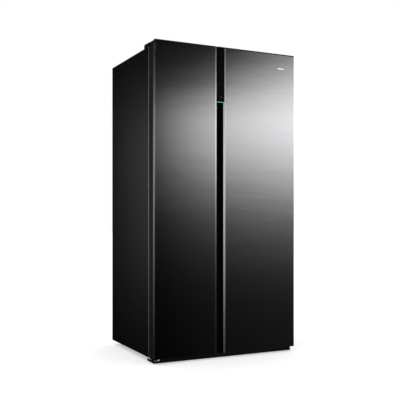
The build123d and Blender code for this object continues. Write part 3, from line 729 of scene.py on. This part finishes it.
def lamps():
    """The interior lamps, with a row of small lenses below each."""
    soften("interior_lamps", 2.0, 3)
    bm = bmesh.new()
    for x, y, z in mesh_islands("interior_lamps"):
        count = int((x[1] - x[0]) // 20)
        for k in range(count):
            px = x[0] + (k + 0.5) * (x[1] - x[0]) / count
            spot = (px, (y[0] + y[1]) / 2, 0)
            lens = [(4, z[0] + 1), (4, z[0] - 0.6), (2.5, z[0] - 1.6), (0, z[0] - 1.9)]
            add_turned(bm, spot, "Z", lens, 16)
    piece("interior_lamp_lenses", bm, "lamp_diffuser", "cabinet")


def build_inside():
    cavity("freezer_liner")
    cavity("fridge_liner")
    shelf_trims()
    for node in ("freezer_drawer_upper", "freezer_drawer_lower", "crisper_upper", "crisper_lower"):
        drawer(node)
    soften("drawer_runners", 1.2)
    soften("freezer_duct_panel", 0.7)
    soften("fridge_duct_panel", 1.2)
    soften("ice_maker_frame", 1.0)
    soften("ice_tray", 1.4, 3)
    x, y, z = limits("ice_box")
    bm = bmesh.new()
    add_tub(bm, x, y, z, 2.4, 14)
    add_slab(bm, (x[0] + 60, x[1] - 60), (y[0] + 0.6, y[0] + 4), (z[1] - 40, z[1] - 32), 1.4, 3)
    stand_in("ice_box", bm)
    lamps()


# ------------------------------------------------------------ outside of the cabinet, back and machine room
def back_sheet():
    """The rear sheet, with upright pressed channels above the machine room's window."""
    x, y, z = limits("back_panel")
    face, deep = y[1], y[0] + 0.15
    window, sill, lintel, low = 430, 48, 242, 262.0
    bm = bmesh.new()
    across = [(x[0], face)]
    for k in range(8):
        start = x[0] + 60 + k * (x[1] - x[0] - 120 - 40) / 7
        across += [(start, face), (start + 5, deep), (start + 35, deep), (start + 40, face)]
    across.append((x[1], face))
    rows = []
    levels = [(low, False), (low + 8, False), (low + 14, True)]
    levels += [(z[1] - 34, True), (z[1] - 28, False), (z[1], False)]
    for height, pressed in levels:
        points = [(px, py if pressed else face, height) for px, py in across]
        rows.append([bm.verts.new(Vector(point) * MM) for point in points])
    for below, above in zip(rows, rows[1:]):
        for k in range(len(across) - 1):
            bm.faces.new((below[k], below[k + 1], above[k + 1], above[k]))
    made = bmesh.ops.extrude_edge_only(bm, edges=[e for e in bm.edges if e.is_boundary])["geom"]
    for vert in [v for v in made if isinstance(v, bmesh.types.BMVert)]:
        vert.co.y = y[0] * MM
    stand_in("back_panel", bm, "back_panel_sheet")
    bm = bmesh.new()
    add_slab(bm, (x[0], -window), y, (z[0], low), 0.3, 1)
    add_slab(bm, (window, x[1]), y, (z[0], low), 0.3, 1)
    add_slab(bm, (-window, window), y, (z[0], sill), 0.3, 1)
    add_slab(bm, (-window, window), y, (lintel, low), 0.3, 1)
    piece("back_panel_border", bm, "galvanised_steel", "cabinet")
    bm = bmesh.new()
    screw = [(4.4, face - 1.1), (4.4, face - 0.5), (3.2, face - 0.05)]
    screw += [(0.9, face - 0.05), (0.9, face - 0.8), (0, face - 0.8)]
    for px in (-436, -220, 0, 220, 436):
        for height in (54, 234):
            add_turned(bm, (px, 0, height), "Y", screw, 20)
    piece("back_panel_screws", bm, "galvanised_steel", "cabinet")


def coil(node, rows, columns, fins, along):
    """Rows of tube with return bends, through a pack of thin fins."""
    x, y, z = limits(node)
    bend = (z[1] - z[0]) / rows / 2
    bm = bmesh.new()
    ends = (x[0] + 6, x[1] - 6) if along == "X" else (y[0] + 6, y[1] - 6)
    span = (ends[0] + bend * 0.6, ends[1] - bend * 0.6)
    for k in range(fins):
        at = span[0] + (k + 0.5) * (span[1] - span[0]) / fins
        if along == "X":
            add_slab(bm, (at - 0.3, at + 0.3), y, z, 0)
        else:
            add_slab(bm, x, (at - 0.3, at + 0.3), z, 0)
    stand_in(node, bm, f"{node}_fins")
    bm = bmesh.new()
    for column in range(columns):
        other = y if along == "X" else x
        across = other[0] + (column + 0.5) * (other[1] - other[0]) / columns
        path = []
        for row in range(rows):
            height = z[0] + (row + 0.5) * (z[1] - z[0]) / rows
            way = 1 if row % 2 == 0 else -1
            first, last = (span[0], span[1]) if way > 0 else (span[1], span[0])
            path += [(first, height), (last, height)]
            if row < rows - 1:
                turn = arc((last, height + bend, 0), bend, -90 * way, 90 * way, "XY", 6)
                if way < 0:
                    turn = arc((last, height + bend, 0), bend, 270, 90, "XY", 6)
                path += [p[:2] for p in turn[1:-1]]
        if along == "X":
            add_tube(bm, [(a, across, b) for a, b in path], 3.6)
        else:
            add_tube(bm, [(across, a, b) for a, b in path], 3.0)
    piece(f"{node}_tubes", bm, "fin_aluminium", "cabinet")


def compressor():
    """A welded steel shell with its seam, feet, terminal cover and pipes."""
    cx, cy, low = 270, 245, limits("compressor")[2][0]
    shell = [(60, 16), (68, 22), (71, 34), (71, 74), (71.5, 76), (71.5, 80)]
    shell += [(71, 82), (70, 112), (64, 134), (50, 150), (28, 157), (0, 158)]
    bm = bmesh.new()
    add_turned(bm, (cx, cy, 0), "Z", [(radius, low + height) for radius, height in shell], 48)
    add_slab(bm, (190, 350), (182, 196), (low + 10, low + 14), 1.0)
    add_slab(bm, (190, 350), (294, 308), (low + 10, low + 14), 1.0)
    add_slab(bm, (206, 334), (190, 300), (low + 11, low + 17), 1.0)
    add_slab(bm, (330, 376), (225, 265), (low + 40, low + 100), 3.0, 3)
    stand_in("compressor", bm)
    bm = bmesh.new()
    mount = [(9, 0), (9, 3), (7, 4), (7, 7), (9, 8), (9, 12), (0, 12)]
    for px in (200, 340):
        for py in (190, 300):
            add_turned(bm, (px, py, 0), "Z", [(radius, low + height) for radius, height in mount], 24)
    piece("compressor_mounts", bm, "black_rubber", "cabinet")
    bm = bmesh.new()
    for py, height, reach in ((214, 120, 150), (236, 100, 120), (268, 84, 100)):
        start = cx - 66
        path = [(start + 10, py, low + height), (start - 14, py, low + height)]
        path += arc((start - 14, py, low + height - 12), 12, 90, 180, "XZ", 5)[1:]
        path += [(start - 26, py, low + reach * 0.3)]
        path += arc((start - 38, py, low + reach * 0.3), 12, 0, -90, "XZ", 5)[1:]
        path.append((start - 38 - reach * 0.35, py, low + reach * 0.3 - 12))
        add_tube(bm, path, 3.2)
    pipes = piece("compressor_pipes", bm, "chrome_trim", "cabinet")
    pipes.data.materials[0] = materials["copper"]


def fan(node, axis, count):
    """A moulded impeller with swept, twisted blades around a cupped hub."""
    box = limits(node)
    index = "XYZ".index(axis)
    centre = [(pair[0] + pair[1]) / 2 for pair in box]
    depth = box[index][1] - box[index][0]
    radius = min((box[k][1] - box[k][0]) / 2 for k in range(3) if k != index) - 0.3
    hub = 11.0
    order = {"X": (1, 2, 0), "Y": (2, 0, 1)}[axis]

    def spot(angle, reach, height):
        local = (reach * math.cos(angle), reach * math.sin(angle), height)
        point = list(centre)
        for value, slot in zip(local, order):
            point[slot] = centre[slot] + value
        return Vector(point) * MM

    bm = bmesh.new()
    steps = 8
    for k in range(count):
        base = 2 * math.pi * k / count
        sheets = []
        for lift in (-0.6, 0.6):
            rows = []
            for n in range(steps + 1):
                share = n / steps
                reach = hub - 1 + share * (radius - hub + 1)
                half = (0.34 + 0.1 * share) * 2.2 * math.pi / count
                sweep = base + 0.35 * share * share
                pitch = depth * (0.46 - 0.16 * share)
                row = []
                for m in range(7):
                    across = m / 3 - 1
                    row.append(bm.verts.new(spot(sweep + across * half * 0.62, reach, across * pitch + lift)))
                rows.append(row)
            sheets.append(rows)
        low, high = sheets
        for n in range(steps):
            for m in range(6):
                bm.faces.new((low[n][m], low[n + 1][m], low[n + 1][m + 1], low[n][m + 1]))
                bm.faces.new((high[n][m], high[n][m + 1], high[n + 1][m + 1], high[n + 1][m]))
            for m in (0, 6):
                bm.faces.new((low[n][m], low[n + 1][m], high[n + 1][m], high[n][m]))
        for n in (0, steps):
            for m in range(6):
                bm.faces.new((low[n][m], low[n][m + 1], high[n][m + 1], high[n][m]))
    half = depth / 2
    bore = 2.6
    cup = [(bore, -half + 3), (bore, -half), (hub - 1.5, -half), (hub, -half + 1.5), (hub, half - 1)]
    cup += [(hub - 2, half - 1), (hub - 2, -half + 4), (5, -half + 4)]
    cup += [(5, half - 1), (bore, half - 1), (bore, -half + 3)]
    middle = list(centre)
    middle[index] = 0
    add_turned(bm, middle, axis, [(r, h + centre[index]) for r, h in cup], 28)
    stand_in(node, bm)


def hinge_covers():
    """Covers over the hinges, each held by a screw."""
    soften("hinge_covers", 1.2, 3)
    bm = bmesh.new()
    for x, _, z in mesh_islands("hinge_covers"):
        side = 1 if x[0] > 0 else -1
        spot = (side * 380, -214, 0)
        top = z[1]
        profile = [(4.2, top - 1), (4.2, top - 0.2), (3.4, top), (1, top), (1, top - 0.9), (0, top - 0.9)]
        add_turned(bm, spot, "Z", profile, 20)
    piece("hinge_cover_screws", bm, "galvanised_steel", "cabinet")


def bolts():
    """Hexagon heads with washers, in place of plain round ones."""
    bm = bmesh.new()
    for x, y, z in mesh_islands("hinge_bolts"):
        cx, cy, cz = [(pair[0] + pair[1]) / 2 for pair in (x, y, z)]
        if z[1] - z[0] < x[1] - x[0]:
            low, high = z
            radius = (x[1] - x[0]) / 2
            add_turned(bm, (cx, cy, 0), "Z", [(radius, low + 4.1), (radius, low + 5), (0, low + 5)], 24)
            head = [(radius - 1, low + 5), (radius - 1, high - 0.6), (radius - 2, high), (0, high)]
            add_turned(bm, (cx, cy, 0), "Z", head, 6)
        else:
            low, high = y
            radius = (x[1] - x[0]) / 2
            washer = [(0, high - 3.9), (radius, high - 3.9), (radius, high - 3), (0, high - 3)]
            head = [(0, low), (radius - 1.6, low), (radius - 0.8, low + 0.6), (radius - 0.8, high - 3)]
            add_turned(bm, (cx, 0, cz), "Y", washer, 24)
            add_turned(bm, (cx, 0, cz), "Y", head, 6)
    stand_in("hinge_bolts", bm)


def feet():
    """Levelling feet with a knurled pad and a threaded stud, and the rear rollers."""
    for side in ("left", "right"):
        x, y, z = limits(f"foot_{side}")
        cx, cy = (x[0] + x[1]) / 2, (y[0] + y[1]) / 2
        pad = [(16, 0), (17.6, 0.6), (18, 2), (18, 5), (17, 6.2), (13, 7), (12.4, 8), (5, 8)]
        stud = []
        for k in range(11):
            stud += [(4.9, 8.2 + k * 1.6), (4.3, 9 + k * 1.6)]
        bm = bmesh.new()
        add_turned(bm, (cx, cy, 0), "Z", pad + stud + [(0, z[1])], 36)
        for k in range(18):
            angle = 2 * math.pi * k / 18
            px, py = cx + 17.2 * math.cos(angle), cy + 17.2 * math.sin(angle)
            add_turned(bm, (px, py, 0), "Z", [(0.7, 1.6), (0.7, 5.2), (0, 5.4)], 8)
        stand_in(f"foot_{side}", bm)
        x, y, z = limits(f"roller_{side}")
        low, high = x
        tyre = [(4.1, low), (7, low), (7.6, low + 1), (12, low + 1), (13.6, low), (14, low + 1)]
        tyre += [(14, high - 1), (13.6, high), (12, high - 1), (7.6, high - 1)]
        tyre += [(7, high), (4.1, high), (4.1, low)]
        bm = bmesh.new()
        centre = (0, (y[0] + y[1]) / 2, (z[0] + z[1]) / 2)
        add_turned(bm, centre, "X", tyre, 36)
        stand_in(f"roller_{side}", bm)


def inlet():
    """The mains inlet and its three pins."""
    soften("power_inlet", 1.0)
    bm = bmesh.new()
    x, y, z = limits("power_inlet")
    cx, cz = (x[0] + x[1]) / 2, (z[0] + z[1]) / 2
    for dx, dz in ((-8, -3), (8, -3), (0, 6)):
        px, pz = cx + dx, cz + dz
        add_slab(bm, (px - 1, px + 1), (y[1] - 6, y[1] - 0.2), (pz - 2.5, pz + 2.5), 0.4)
    piece("power_inlet_pins", bm, "chrome_trim", "cabinet")


def build_outside():
    back_sheet()
    coil("condenser", 6, 3, 26, "Y")
    coil("evaporator", 7, 2, 44, "X")
    compressor()
    fan("evaporator_fan", "Y", 7)
    fan("condenser_fan", "X", 5)
    hinge_covers()
    bolts()
    feet()
    inlet()
    soften("control_board", 3.0, 3)
    soften("toe_kick", 0.8)
    soften("top_hinges", 0.5)
    soften("bottom_hinges", 0.5)
    soften("base_plate", 0.4, 1)
    soften("drain_pan", 1.0)
    soften("fan_motors", 0.8)
    soften("rear_cover", 0.3, 1)
    frame_piece = soften("front_frame", 0.3)
    frame_piece.data.materials[0] = materials["frame_paint"]


scene.view_settings.view_transform = "Standard"
make_camera()
make_world()
make_floor()
materials = make_materials()
paint_nodes(materials)
build_doors()
build_inside()
build_outside()
